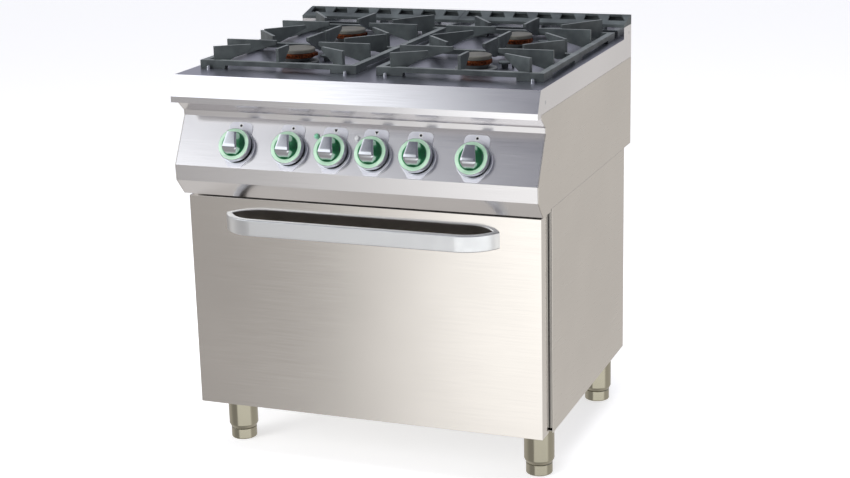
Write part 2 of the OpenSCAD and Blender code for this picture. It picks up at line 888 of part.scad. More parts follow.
module legs() {
  color(steel) place() for (p = leg_places) translate([p[0], p[1], 0]) {
    difference() {
      translate([0, 0, foot_h + seam]) cylinder(h = leg_h - foot_h - seam, r = leg_r);
      translate([0, 0, foot_h + bush_h]) cylinder(h = leg_h - foot_h - bush_h - 5, r = leg_r - 2);
      translate([0, 0, foot_h - 1]) cylinder(h = bush_h + 2, r = stem_r + run_fit);
    }
    translate([0, 0, leg_h]) cylinder(h = 12, r = stud_r);
  }
}

module foot(i) {
  p = leg_places[i];
  stem = 55;
  color(steel) place() translate([p[0], p[1], 0]) rotate_extrude() polygon([
    [0, 0], [foot_r - 1.5, 0], [foot_r, 1.5], [foot_r, foot_h], [stem_r, foot_h],
    [stem_r, foot_h + stem], [0, foot_h + stem]
  ]);
}

module foot_front_left() {
  foot(0);
}

module foot_front_right() {
  foot(1);
}

module foot_rear_left() {
  foot(2);
}

module foot_rear_right() {
  foot(3);
}

module oven_front_frame() {
  color(steel) place() difference() {
    block(-inner_w, inner_w, cabinet_front, cabinet_front + sheet_t, hinge_z + 2, tuck_low[1] - seam);
    block(-oven_w / 2, oven_w / 2, cabinet_front - 5, cabinet_front + 5, oven_low, oven_low + oven_h);
    for (s = [-1, 1]) block(
      s * hinge_x - hinge_half - 1, s * hinge_x + hinge_half + 1, cabinet_front - 5, cabinet_front + 5,
      leg_h, hinge_z + 14
    );
  }
}

module oven_liner() {
  color("#8f9194") place() difference() {
    block(
      -oven_w / 2 - liner_t, oven_w / 2 + liner_t, oven_front_y, oven_front_y + oven_d + liner_t,
      oven_low - liner_t, oven_low + oven_h + liner_t
    );
    block(-oven_w / 2, oven_w / 2, oven_front_y - 1, oven_front_y + oven_d, oven_low, oven_low + oven_h);
  }
}

module oven_insulation() {
  x = oven_w / 2 + liner_t;
  y = oven_front_y + oven_d + liner_t;
  color("#d9c98f") place() difference() {
    block(-x - wool_t, x + wool_t, oven_front_y, y + wool_t / 2, oven_low - liner_t - wool_t,
      oven_low + oven_h + liner_t + wool_t);
    block(-x, x, oven_front_y - 1, y, oven_low - liner_t, oven_low + oven_h + liner_t);
  }
}

rack_t = 3;
rack_bar = 14;
rack_ledge = 24;
rack_levels = [60, 140, 220];
shelf_r = 4;

// Ladder of two uprights and three angle runners on each side wall.
module rack_guides() {
  wall = oven_w / 2 - 2;
  ys = [oven_front_y + 45, oven_front_y + oven_d - 45 - rack_bar];
  color(chrome) place() for (s = [0, 1]) mirror([s, 0, 0]) {
    for (y = ys) block(wall - rack_t, wall, y, y + rack_bar, oven_low + 12, oven_low + oven_h - 12);
    for (l = rack_levels) {
      block(wall - 2 * rack_t, wall - rack_t + 0.5, ys[0] - 25, ys[1] + 39, oven_low + l, oven_low + l + rack_bar);
      block(wall - rack_ledge - rack_t, wall - rack_t, ys[0] - 25, ys[1] + 39, oven_low + l - 2, oven_low + l);
    }
  }
}

module oven_shelf() {
  z = oven_low + rack_levels[1] + shelf_r + lift_gap;
  y0 = oven_front_y + 6;
  y1 = y0 + shelf_d;
  x = shelf_w / 2;
  wires = 11;
  color(chrome) place() {
    bent_bar([
      [0, y0 + shelf_r, z], [x - shelf_r, y0 + shelf_r, z], [x - shelf_r, y1 - shelf_r, z],
      [shelf_r - x, y1 - shelf_r, z], [shelf_r - x, y0 + shelf_r, z], [0, y0 + shelf_r, z]
    ], shelf_r, 2.5 * shelf_r);
    for (i = [1 : wires]) rod(
      [-x + i * shelf_w / (wires + 1), y0 + shelf_r, z], [-x + i * shelf_w / (wires + 1), y1 - shelf_r, z], 2
    );
  }
}

// A meandering tube heater h above the oven floor.
module heater(h) {
  r = 4;
  bend = 75;
  y0 = oven_front_y + 140;
  y1 = oven_front_y + oven_d - 1;
  z = oven_low + h;
  xs = [-3 * bend, -bend, bend, 3 * bend];
  for (i = [0 : 3]) {
    far = i == 0 || i == 3 ? y1 : y1 - bend - 20;
    rod([xs[i], y0, z], [xs[i], far, z], r);
  }
  for (c = [-2 * bend, 2 * bend]) translate([c, y0, z]) rotate([0, 0, 180]) rotate_extrude(angle = 180)
    translate([bend, 0]) circle(r = r);
  translate([0, y1 - bend - 20, z]) rotate_extrude(angle = 180) translate([bend, 0]) circle(r = r);
}

module heating_elements() {
  color("#55524f") place() {
    heater(22);
    heater(oven_h - 22);
  }
}

module door_seal() {
  lap = 7;
  w = 9;
  color("#2f2f31") place() difference() {
    block(
      -oven_w / 2 - lap - w, oven_w / 2 + lap + w, door_back + seam, cabinet_front,
      oven_low - lap - w, oven_low + oven_h + lap + w
    );
    block(
      -oven_w / 2 - lap, oven_w / 2 + lap, door_back - 5, cabinet_front + 5,
      oven_low - lap, oven_low + oven_h + lap
    );
  }
}

// ---- door ----

// Room for a hinge bracket at the lower inner corner of the door.
module hinge_room() {
  for (s = [-1, 1]) block(
    s * hinge_x - hinge_half - 2, s * hinge_x + hinge_half + 2, hinge_y - 12, door_back + 5,
    door_low - 5, hinge_z + 12
  );
}

module door_panel() {
  color(steel) place() difference() {
    block(-door_half, door_half, door_front, door_back, door_low, door_high);
    block(
      -door_half + sheet_t, door_half - sheet_t, door_front + sheet_t, door_back + 5,
      door_low + sheet_t, door_high - sheet_t
    );
    hinge_room();
  }
}

module door_liner() {
  w = door_half - sheet_t - seam;
  color("#b0b2b4") place() difference() {
    block(-w, w, door_back - liner_t, door_back, door_low + sheet_t + seam, door_high - sheet_t - seam);
    hinge_room();
  }
}

module door_insulation() {
  w = door_half - sheet_t - 2;
  color("#d9c98f") place() difference() {
    block(-w, w, door_front + sheet_t + seam, door_back - liner_t - seam, hinge_z + 14, door_high - sheet_t - 2);
  }
}

module door_handle() {
  z = door_high - handle_down - handle_h / 2;
  y = door_front - handle_out;
  sweep = acos((handle_bend - handle_out) / handle_bend);
  x = round(handle_w / 2 - handle_bend * sin(sweep));
  c = 2;
  t = handle_t;
  h = handle_h;
  section = [[0, c], [c, 0], [t - c, 0], [t, c], [t, h - c], [t - c, h], [c, h], [0, h - c]];
  color(chrome) place() difference() {
    translate([0, 0, z]) {
      across(2 * x) translate([y, 0]) polygon(section);
      translate([x, y + handle_bend, 0]) rotate([0, 0, -90]) rotate_extrude(angle = 90, $fn = 96)
        translate([handle_bend - t, 0]) polygon(section);
      translate([-x, y + handle_bend, 0]) rotate([0, 0, 180]) rotate_extrude(angle = 90, $fn = 96)
        translate([handle_bend - t, 0]) polygon(section);
    }
    block(-handle_w, handle_w, door_front, door_front + 2 * handle_bend, z - 1, z + h + 1);
  }
}

eye_r = 8;
lug_t = 3;
arm_t = 6;

module door_hinges() {
  color("#9a9c9e") place() for (s = [-1, 1]) difference() {
    union() {
      translate([s * hinge_x - arm_t / 2, hinge_y, hinge_z]) rotate([0, 90, 0]) cylinder(h = arm_t, r = eye_r);
      block(
        s * hinge_x - arm_t / 2, s * hinge_x + arm_t / 2, hinge_y - 38, hinge_y,
        hinge_z - 4, hinge_z + 4
      );
    }
    translate([s * hinge_x - 20, hinge_y, hinge_z]) rotate([0, 90, 0]) cylinder(h = 40, r = hinge_pin_r + run_fit);
  }
}

module hinge_brackets() {
  low = base_z + 0.2;
  color("#9a9c9e") place() for (s = [-1, 1]) {
    for (k = [-1, 1]) {
      x = s * hinge_x + k * (arm_t / 2 + 2) - (k < 0 ? lug_t : 0);
      translate([x, hinge_y, hinge_z]) rotate([0, 90, 0]) cylinder(h = lug_t, r = hinge_z - low);
      block(x, x + lug_t, hinge_y, base_front + 30, low, hinge_z + 7);
    }
    block(
      s * hinge_x - arm_t / 2 - 2 - lug_t, s * hinge_x + arm_t / 2 + 2 + lug_t,
      base_front + 10, base_front + 30, low, low + 3
    );
    translate([s * hinge_x - arm_t / 2 - 2 - lug_t, hinge_y, hinge_z]) rotate([0, 90, 0])
      cylinder(h = arm_t + 4 + 2 * lug_t, r = hinge_pin_r);
  }
}

// ---- fasteners and services ----

module sheet_screws() {
  r = skirt_hole_r - screw_fit;
  color(chrome) place() for (s = [-1, 1]) for (h = skirt_holes) at_skirt(s, h) {
    translate([0, 0, -10]) cylinder(h = 10 - top_t + 0.01, r = r);
    translate([0, 0, -top_t]) cylinder(h = top_t, r1 = r, r2 = screw_head_r);
  }
}

module cable_gland() {
  color("#3c3c3e") place() translate([gland_at[0], cabinet_back_y, gland_at[1]]) rotate([-90, 0, 0]) difference() {
    union() {
      translate([0, 0, -12]) cylinder(h = 12, r = gland_r + 3.8);
      cylinder(h = 6, r = gland_r + 7, $fn = 6);
      translate([0, 0, 6]) cylinder(h = 14, r = gland_r + 4.5);
    }
    translate([0, 0, -13]) cylinder(h = 40, r = gland_r);
  }
}

worktop();
control_panel();
hob_side_left();
hob_side_right();
hob_back();
hob_tray();
flue_duct();
cabinet_side_left();
cabinet_side_right();
cabinet_back();
cabinet_base();
oven_front_frame();
oven_liner();
oven_insulation();
rack_guides();
heating_elements();
door_seal();
hinge_brackets();
gas_rail();
gas_taps();
gas_feed_tubes();
burner_bases();
burner_crowns();
pilot_burners();
knob_bezels();
oven_controls();
lamp_green();
lamp_clear();
cable_gland();
sheet_screws();
locating_pegs();
legs();
foot_front_left();
foot_front_right();
foot_rear_left();
foot_rear_right();
door_panel();
door_liner();
door_insulation();
door_handle();
door_hinges();
pan_support_left();
pan_support_right();
flue_grille_left();
flue_grille_right();
cap_front_left();
cap_rear_left();
cap_rear_right();
cap_front_right();
tap_plug_1();
tap_plug_2();
tap_plug_5();
tap_plug_6();
knob_1();
knob_2();
knob_3();
knob_4();
knob_5();
knob_6();
oven_shelf();
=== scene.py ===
# %% [markdown]
# # A restaurant range with a gas hob over an oven
# The design of the range is already packed as a set of solids with joints. This lesson dresses it: pieces
# whose shape is right keep it and get a finish, and pieces that need softer edges or finer detail are
# modelled again and stand in for the solid of the same name. All lengths are in metres, in the design's own
# frame: x to the right, y to the back and z up from the floor.

# %% Load the design
import json
import math

import bmesh
import bpy
from mathutils import Matrix, Vector


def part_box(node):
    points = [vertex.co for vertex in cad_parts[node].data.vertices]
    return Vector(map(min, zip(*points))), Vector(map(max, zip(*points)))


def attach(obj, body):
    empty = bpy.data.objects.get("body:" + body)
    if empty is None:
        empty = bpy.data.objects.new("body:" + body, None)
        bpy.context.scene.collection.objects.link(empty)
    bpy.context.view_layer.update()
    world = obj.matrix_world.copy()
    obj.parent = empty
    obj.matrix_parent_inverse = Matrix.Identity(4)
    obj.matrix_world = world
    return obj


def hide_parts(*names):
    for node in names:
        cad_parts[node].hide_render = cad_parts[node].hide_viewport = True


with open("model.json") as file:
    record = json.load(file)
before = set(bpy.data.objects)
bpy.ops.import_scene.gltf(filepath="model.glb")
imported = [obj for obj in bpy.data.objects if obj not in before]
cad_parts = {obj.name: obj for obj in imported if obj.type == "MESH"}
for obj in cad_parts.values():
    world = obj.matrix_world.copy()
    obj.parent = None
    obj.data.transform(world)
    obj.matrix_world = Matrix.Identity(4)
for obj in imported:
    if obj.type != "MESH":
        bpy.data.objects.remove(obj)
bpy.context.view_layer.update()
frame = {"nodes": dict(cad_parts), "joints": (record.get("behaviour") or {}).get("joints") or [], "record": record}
nodes = frame["nodes"]
joints = {j["name"]: j for j in frame["joints"]}
MM = 0.001

# %% [markdown]
# ## Camera
# The camera stands a little above the range and off its right front corner, so that the front, the top and one
# side all show. A long lens keeps the upright edges nearly parallel.

# %% Camera
EYE = Vector((1.363, -3.471, 1.463))
HEADING, DIP, TILT = math.radians(21.1), math.radians(-15.41), math.radians(-1.44)
camera = bpy.data.objects.new("camera", bpy.data.cameras.new("camera"))
bpy.context.scene.collection.objects.link(camera)
camera.data.lens = 72.82
camera.data.sensor_width = 36.0
camera.matrix_world = (
    Matrix.Translation(EYE)
    @ Matrix.Rotation(HEADING, 4, "Z")
    @ Matrix.Rotation(math.pi / 2 + DIP, 4, "X")
    @ Matrix.Rotation(TILT, 4, "Z")
)
bpy.context.scene.camera = camera

# %% [markdown]
# ## Helpers for materials
# Every finish is a small node tree that ends in one Principled shader. `add` makes a node, gives it its
# settings and values, and links what is a socket. Colours are written as sRGB hex, and `rgb` turns them to
# the linear values that the shader wants.

# %% Material helpers
def rgb(code):
    parts = [int(code[i:i + 2], 16) / 255 for i in (1, 3, 5)]
    linear = [c / 12.92 if c <= 0.04045 else ((c + 0.055) / 1.055) ** 2.4 for c in parts]
    return (*linear, 1.0)


def add(tree, kind, settings=None, inputs=None):
    node = tree.nodes.new(kind)
    for key, value in (settings or {}).items():
        setattr(node, key, value)
    for key, value in (inputs or {}).items():
        if isinstance(value, bpy.types.NodeSocket):
            tree.links.new(value, node.inputs[key])
        else:
            node.inputs[key].default_value = value
    return node


def start(name, **fixed):
    material = bpy.data.materials.new(name)
    material.use_nodes = True
    tree = material.node_tree
    shader = tree.nodes["Principled BSDF"]
    for key, value in fixed.items():
        shader.inputs[key.replace("_", " ").title().replace("Ior", "IOR")].default_value = value
    place = add(tree, "ShaderNodeTexCoord").outputs["Object"]
    return material, tree, shader, place


def between(tree, factor, low, high):
    """A value or colour that goes from low to high as factor goes from 0.3 to 0.7."""
    ramp = add(tree, "ShaderNodeValToRGB", inputs={"Fac": factor})
    ramp.color_ramp.elements[0].position = 0.3
    ramp.color_ramp.elements[1].position = 0.7
    ramp.color_ramp.elements[0].color = low if isinstance(low, tuple) else (low, low, low, 1)
    ramp.color_ramp.elements[1].color = high if isinstance(high, tuple) else (high, high, high, 1)
    return ramp.outputs["Color"]


def grain(tree, place, size_mm, detail=3.0):
    """Noise whose grains are size_mm = (x, y, z) millimetres long."""
    scale = tuple(1 / (s * MM) for s in size_mm)
    stretched = add(tree, "ShaderNodeMapping", inputs={"Vector": place, "Scale": scale})
    settings = {"noise_dimensions": "3D"}
    inputs = {"Vector": stretched.outputs["Vector"], "Scale": 1.0, "Detail": detail}
    return add(tree, "ShaderNodeTexNoise", settings, inputs).outputs["Fac"]


def bump(tree, shader, height, depth_mm, strength=1.0):
    inputs = {"Height": height, "Distance": depth_mm * MM, "Strength": strength}
    node = add(tree, "ShaderNodeBump", inputs=inputs)
    tree.links.new(node.outputs["Normal"], shader.inputs["Normal"])


# %% [markdown]
# ## Stainless steel
# The sheets are 304 stainless with a satin finish: a belt has drawn fine lines across them. The lines are a
# few hundredths of a millimetre wide, too fine to see at this distance, so they are drawn coarser and very
# shallow. They spread a reflection across the grain and break it up a little. Large pale clouds stand for
# the slight unevenness that every real sheet has.

# %% Satin stainless sheet
def satin_stainless(name, code, along, rough, line_mm=0.9, depth=0.12):
    material, tree, shader, place = start(name, Metallic=1.0, Anisotropic=0.3)
    size = [line_mm, line_mm, line_mm]
    size["xyz".index(along)] = 90.0
    lines = grain(tree, place, size, 4.0)
    clouds = grain(tree, place, (320, 320, 320), 2.0)
    base = rgb(code)
    darker = tuple(c * 0.93 for c in base[:3]) + (1,)
    tree.links.new(between(tree, clouds, darker, base), shader.inputs["Base Color"])
    tree.links.new(between(tree, lines, rough - 0.03, rough + 0.04), shader.inputs["Roughness"])
    bump(tree, shader, lines, 0.02, depth)
    return material


STEEL_TOP = satin_stainless("satin stainless nosing", "#f4f4f8", "x", 0.14)
# The worktop face is rougher than the nosing, and its darker, bluer base colour is painted shade.
STEEL_FLAT_PAINTED_SHADE = satin_stainless("satin stainless worktop face with painted shade", "#e4e4ec", "x", 0.3)
STEEL_PANEL = satin_stainless("satin stainless control panel", "#f3f2f4", "x", 0.2)
STEEL_DOOR = satin_stainless("satin stainless door", "#efebe6", "x", 0.11)
STEEL_SIDE = satin_stainless("satin stainless side", "#e9e5df", "y", 0.3)
STEEL_INNER = satin_stainless("satin stainless inner sheet", "#b8b6b3", "x", 0.34)

# %% [markdown]
# ## Bright metals
# The handle and the legs are polished stainless, and the knobs are chromed zinc castings. Polish leaves
# almost no lines, only a haze from wiping, so their roughness wanders slowly between two low values.

# %% Bright metals
def bright_metal(name, code, low, high, haze_mm=25):
    material, tree, shader, place = start(name, Metallic=1.0)
    shader.inputs["Base Color"].default_value = rgb(code)
    haze = grain(tree, place, (haze_mm, haze_mm, haze_mm), 4.0)
    tree.links.new(between(tree, haze, low, high), shader.inputs["Roughness"])
    return material


CHROME = bright_metal("chromed zinc casting", "#d3d6dc", 0.07, 0.13)
HANDLE_STEEL = bright_metal("satin stainless handle", "#f2f5f8", 0.3, 0.38)
# The inside of the handle gets a dark grey base colour: painted shade of the hollow behind the bar.
PAINTED_SHADE_HANDLE_BACK = bright_metal("rougher inside of the handle with painted shade", "#6d6b69", 0.45, 0.6)
LEG_STEEL = bright_metal("polished stainless tube", "#b0ac9b", 0.12, 0.19)
ZINC = bright_metal("zinc plated steel", "#a9acae", 0.3, 0.45, 12)
BRASS = bright_metal("turned brass", "#c2a05a", 0.25, 0.38, 8)
COPPER = bright_metal("drawn copper tube", "#b97a55", 0.25, 0.4, 15)

# %% [markdown]
# ## Cast iron
# Pan supports, caps and grille are sand-cast iron under matt black enamel. The sand leaves a pebbled skin
# with grains near a millimetre, and the enamel gives it a low sheen. A coarse noise varies its grey. Upper
# faces have a lighter version: painted light, as if the light from above falls on the tops.

# %% Cast iron
def cast_iron(name, dark, light, pebble_mm=1.6):
    material, tree, shader, place = start(name, Metallic=0.0, Specular_Ior_Level=0.5)
    pebbles = grain(tree, place, (pebble_mm, pebble_mm, pebble_mm), 3.0)
    patches = grain(tree, place, (38, 38, 38), 4.0)
    tree.links.new(between(tree, patches, rgb(dark), rgb(light)), shader.inputs["Base Color"])
    tree.links.new(between(tree, pebbles, 0.42, 0.6), shader.inputs["Roughness"])
    bump(tree, shader, pebbles, 0.16, 0.6)
    return material


IRON = cast_iron("enamelled cast iron", "#3b4042", "#565d5e")
# The lighter iron is painted light: upward faces made paler as if lit from above.
PAINTED_LIGHT_IRON = cast_iron("cast iron lit on top as painted light", "#63686a", "#7b8081")
CAP_IRON = cast_iron("enamelled burner cap", "#565552", "#68675f", 1.1)
BURNER_IRON = cast_iron("cast burner body", "#55585a", "#6b6e6f")


# %% [markdown]
# ## Crown, enamel and lens finishes
# The burner crown is brass that heat has tinted in brown and orange blotches, which makes it look used. The
# knob's face ring is a pale green lacquer, and the wall of its dish is green too, made deeper as painted shade.
# Lamps have moulded lenses, one green and one clear. `coated` serves every finish that isn't bare metal: its two
# tones keep a surface from looking like one flat colour.

# %% Crown brass
def heated_brass(name):
    material, tree, shader, place = start(name, Metallic=1.0)
    blotches = grain(tree, place, (7, 7, 4), 4.0)
    tree.links.new(between(tree, blotches, rgb("#4c2b21"), rgb("#a05a36")), shader.inputs["Base Color"])
    tree.links.new(between(tree, blotches, 0.55, 0.42), shader.inputs["Roughness"])
    bump(tree, shader, blotches, 0.05, 0.5)
    return material


CROWN = heated_brass("heat tinted brass")


# %% Plastics, lacquer and rubber
def coated(name, dark, light, rough, spread_mm=30, pit_mm=0.0, coat=0.0):
    material, tree, shader, place = start(name, Coat_Weight=coat, Coat_Roughness=0.08)
    patches = grain(tree, place, (spread_mm, spread_mm, spread_mm), 3.0)
    tree.links.new(between(tree, patches, rgb(dark), rgb(light)), shader.inputs["Base Color"])
    tree.links.new(between(tree, patches, rough, rough * 1.25), shader.inputs["Roughness"])
    if pit_mm:
        pits = grain(tree, place, (pit_mm, pit_mm, pit_mm), 3.0)
        bump(tree, shader, pits, pit_mm * 0.12, 0.6)
    return material


FACE_LACQUER = coated("pale green lacquer", "#b4ddbe", "#cbead1", 0.3, 20, coat=0.4)
# The dish's deeper green is painted shade in the hollow of the knob's face; the green itself is real.
PAINTED_SHADE_DISH_LACQUER = coated("green lacquer with painted shade in the dish", "#2f8a55", "#4ba36c", 0.3, 20, coat=0.15)
BEZEL_PLATE = coated("silver lacquered plate", "#e4e5ee", "#f0f1f8", 0.3, 25, coat=0.4)
COLLAR_CHROME = bright_metal("chromed collar", "#d3d6dc", 0.08, 0.14)
MARK_INK = coated("printed black mark", "#111214", "#1d1e20", 0.5, 4)
WINDOW_WHITE = coated("white printed window", "#f1f2f4", "#fafafb", 0.4, 6)
GREEN_LENS = coated("moulded green lens", "#79cfa4", "#9fe3c0", 0.12, 5, coat=0.6)
CLEAR_LENS = coated("moulded clear lens", "#eef2f4", "#ffffff", 0.12, 5, coat=0.6)
SILICONE = coated("silicone door seal", "#1d1d1f", "#2b2b2d", 0.6, 12, 0.8)
WOOL = coated("mineral wool board", "#b8a56f", "#dccb98", 0.95, 3, 1.5)
PHENOLIC = coated("moulded phenolic", "#d8d2c4", "#e6e1d5", 0.45, 9, 0.6)
NYLON = coated("moulded nylon", "#252527", "#343436", 0.5, 9, 0.6)
SHEATH = coated("heat darkened sheath", "#3a3532", "#56504b", 0.5, 14, 0.5)

# %% [markdown]
# ## Helpers for shapes
# A finished piece sits at the origin with its place in its mesh. `finish_piece` turns a bmesh into an object,
# makes its normals point outwards, shades it smooth apart from sharp edges, gives it its finish, hangs it under
# the empty of the body it rides on and hides the design's solids it stands for.

# %% Piece helpers
def finish_piece(name, bm, body, material, stands_for=(), sharp=35):
    bmesh.ops.remove_doubles(bm, verts=bm.verts, dist=1e-6)
    bmesh.ops.recalc_face_normals(bm, faces=bm.faces)
    mesh = bpy.data.meshes.new(name)
    bm.to_mesh(mesh)
    bm.free()
    mesh.materials.append(material)
    mesh.shade_smooth()
    mesh.set_sharp_from_angle(angle=math.radians(sharp))
    piece = bpy.data.objects.new(name, mesh)
    bpy.context.scene.collection.objects.link(piece)
    even = piece.modifiers.new("flat faces shade flat", "WEIGHTED_NORMAL")
    even.keep_sharp = True
    even.weight = 100
    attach(piece, body)
    if stands_for:
        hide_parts(*stands_for)
    print(name, len(mesh.polygons), "faces")
    return piece


def spun(bm, outline, steps=64, closed=True, place=None):
    """Turns an outline of (radius, height) points in millimetres about z, then puts it at place."""
    verts = [bm.verts.new((r * MM, 0, h * MM)) for r, h in outline]
    pairs = list(zip(verts, verts[1:]))
    if closed:
        pairs.append((verts[-1], verts[0]))
    edges = [bm.edges.new(pair) for pair in pairs]
    settings = {"cent": (0, 0, 0), "axis": (0, 0, 1), "angle": 2 * math.pi, "steps": steps}
    old = set(bm.verts) - set(verts)
    bmesh.ops.spin(bm, geom=verts + edges, use_merge=True, use_duplicate=False, **settings)
    new = [v for v in bm.verts if v not in old]
    bmesh.ops.remove_doubles(bm, verts=new, dist=1e-6)
    new = [v for v in bm.verts if v not in old]
    if place is not None:
        bmesh.ops.transform(bm, matrix=place, verts=new)
    return new


def slab(bm, outline, low, high, place=None, edge=0.0):
    """A flat outline of (x, y) points in millimetres, thickened from low to high, with its rim rounded."""
    face = bm.faces.new([bm.verts.new((x * MM, y * MM, low * MM)) for x, y in outline])
    raised = bmesh.ops.extrude_face_region(bm, geom=[face])["geom"]
    top = [v for v in raised if isinstance(v, bmesh.types.BMVert)]
    bmesh.ops.translate(bm, verts=top, vec=(0, 0, (high - low) * MM))
    verts = list(face.verts) + top
    if edge:
        rim = [e for e in raised if isinstance(e, bmesh.types.BMEdge)]
        made = bmesh.ops.bevel(
            bm, geom=rim, offset=edge * MM, affect="EDGES", segments=3, profile=0.5, material=-1
        )
        verts = [v for v in set(verts + made["verts"]) if v.is_valid]
    if place is not None:
        bmesh.ops.transform(bm, matrix=place, verts=verts)


def arc(x, y, radius, first, last, count):
    """Points of a circle's arc, angles in degrees."""
    angles = [math.radians(first + (last - first) * k / count) for k in range(count + 1)]
    return [(x + radius * math.cos(a), y + radius * math.sin(a)) for a in angles]


# %% [markdown]
# ## Softened copies
# Real sheet is bent to a radius and real castings have rounded edges, and a thin bright line along each edge
# is what makes metal look like metal. `softened` copies one of the design's solids, joins its loose
# triangles, melts flat neighbours together and bevels the edges that are sharper than an angle.

# %% Softened copies
body_of = {n: b for b, members in frame["record"]["behaviour"]["bodies"].items() for n in members}


def softened(node, material, radius_mm, segments=2, least=25, sharp=35):
    bm = bmesh.new()
    bm.from_mesh(nodes[node].data)
    bmesh.ops.remove_doubles(bm, verts=bm.verts, dist=2e-6)
    bmesh.ops.dissolve_limit(
        bm, angle_limit=math.radians(1), use_dissolve_boundaries=False, verts=bm.verts, edges=bm.edges
    )
    corners = [e for e in bm.edges if e.is_manifold and e.calc_face_angle(0) > math.radians(least)]
    bmesh.ops.bevel(
        bm, geom=corners, offset=radius_mm * MM, affect="EDGES", segments=segments, profile=0.5,
        material=-1, clamp_overlap=True
    )
    return finish_piece(node + "_soft", bm, body_of[node], material, (node,), sharp)


def refinish_tops(piece, material, least):
    """Gives the faces whose normal rises more than least a second material."""
    piece.data.materials.append(material)
    for face in piece.data.polygons:
        face.material_index = int(face.normal.z > least)


# %% [markdown]
# ## Sheet metal
# Worktop, panel, door and side sheets are folded on a press, so their edges get a small radius, 0.4 to 2.2 mm.
# The worktop's flat face is duller than its nosing, so its upward faces get a second finish, rougher and with a
# darker, bluer base colour that is painted shade.

# %% Sheet metal
refinish_tops(softened("worktop", STEEL_TOP, 0.9), STEEL_FLAT_PAINTED_SHADE, 0.98)
softened("control_panel", STEEL_PANEL, 0.6)
softened("door_panel", STEEL_DOOR, 2.2, 3)
for node in ("hob_side_left", "hob_side_right", "cabinet_side_left", "cabinet_side_right"):
    softened(node, STEEL_SIDE, 0.5)
softened("hob_back", STEEL_SIDE, 0.5)
softened("cabinet_back", STEEL_SIDE, 0.4)

# %% [markdown]
# ## Castings
# Pan supports and grille are cast in sand, which can't hold a sharp edge, so a bigger radius is asked for. The
# bevel is clamped so that it never overlaps itself. Upward faces of the pan supports get painted light: a lighter
# iron.

# %% Castings
for node in ("pan_support_left", "pan_support_right"):
    refinish_tops(softened(node, IRON, 1.1, 2), PAINTED_LIGHT_IRON, 0.6)
for node in ("flue_grille_left", "flue_grille_right"):
    softened(node, IRON, 0.9, 2)
softened("burner_bases", BURNER_IRON, 0.8)
softened("pilot_burners", IRON, 0.7)

# %% [markdown]
# ## Burner crowns and caps
# A crown is turned brass with gas ports milled through its wall, so it starts as a spun ring, and every
# third face of its outer wall is pushed inwards. The cap that closes it is a thick disc with a rounded rim.

# %% Burner crowns
PORT_STEP = 3
PORT_DEPTH = 2.2


def burner_places():
    for name in ("front_left", "rear_left", "rear_right", "front_right"):
        low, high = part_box("cap_" + name)
        yield name, (low + high) / 2, (high.x - low.x) / 2 / MM


crowns = bmesh.new()
crown_low, crown_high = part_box("burner_crowns")
for name, middle, cap_r in burner_places():
    r, h = cap_r + 1, (crown_high.z - crown_low.z) / MM
    place = Matrix.Translation((middle.x, middle.y, crown_low.z))
    outline = [(20, 0), (r - 2.5, 0), (r - 0.5, 1.2), (r, 2.2), (r, h - 1.8), (r - 0.8, h), (20, h)]
    spun(crowns, outline, 108, place=place)
    axis = Vector((middle.x, middle.y, 0))
    wall = [f for f in crowns.faces if f.is_valid and abs(f.normal.z) < 0.2]
    wall = [f for f in wall if (f.calc_center_median() - middle).xy.length > (r - 0.4) * MM]
    wall.sort(key=lambda f: math.atan2(*(f.calc_center_median() - axis).xy))
    ports = wall[::PORT_STEP]
    for port in bmesh.ops.extrude_discrete_faces(crowns, faces=ports)["faces"]:
        inward = (axis - port.calc_center_median()).xy.normalized() * PORT_DEPTH * MM
        bmesh.ops.translate(crowns, verts=port.verts, vec=(inward.x, inward.y, 0))
finish_piece("burner_crowns_ported", crowns, "range_body", CROWN, ("burner_crowns",), 30)

# %% Burner caps
for name, middle, cap_r in burner_places():
    cap = bmesh.new()
    low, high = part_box("cap_" + name)
    h = (high.z - low.z) / MM
    rim = arc(cap_r - 3.2, h - 3.2, 3.2, 0, 80, 6)
    outline = [(0, 0), (18, 0), (18, 4), (cap_r - 1, 4), (cap_r, 4.8), *rim, (cap_r - 9, h - 0.5), (0, h)]
    spun(cap, outline, 72, False, Matrix.Translation((middle.x, middle.y, low.z)))
    finish_piece("cap_" + name + "_cast", cap, "cap_" + name, CAP_IRON, ("cap_" + name,), 40)

# %% [markdown]
# ## Knobs
# A knob is a chromed casting: a skirt, a dished face with a green ring, and a wedge to grip that is narrow
# where it points and round at its other end. It is made in the knob's own frame, x across, y up the sloped
# panel and z out of it, and then put on its joint's axis.

# %% Knob frame
KNOBS = [
    "burner_knob_1_turn", "burner_knob_2_turn", "oven_mode_turn", "oven_temperature_turn",
    "burner_knob_5_turn", "burner_knob_6_turn",
]


def panel_frame(joint):
    """Across, up and out of the panel, at the point where the joint's axis leaves it."""
    out = -Vector(joints[joint]["axis"])
    across = Vector((1, 0, 0))
    up = out.cross(across)
    turn = Matrix((across, up, out)).transposed().to_4x4()
    return Matrix.Translation(joints[joint]["pos_m"]) @ turn


SKIRT_R, RING_R, SKIRT_LOW, FACE, DISH, GRIP = 35, 26, 9.5, 22, 16, 41
SPINDLE_R, SPINDLE_END = 4, -38

# %% [markdown]
# ## Grip
# The wedge is built from cross sections. Each gives half of an outline, which is mirrored and then bridged to
# the next one.

# %% Grip
GRIP_TIP, GRIP_NOSE, GRIP_ROUND = 21.5, -23.0, 17.2
GRIP_HALF_TIP, GRIP_WIDENS, GRIP_NARROWS = 10.4, 6.2, 7.0
WIDEST = 0.72
SECTIONS = 22


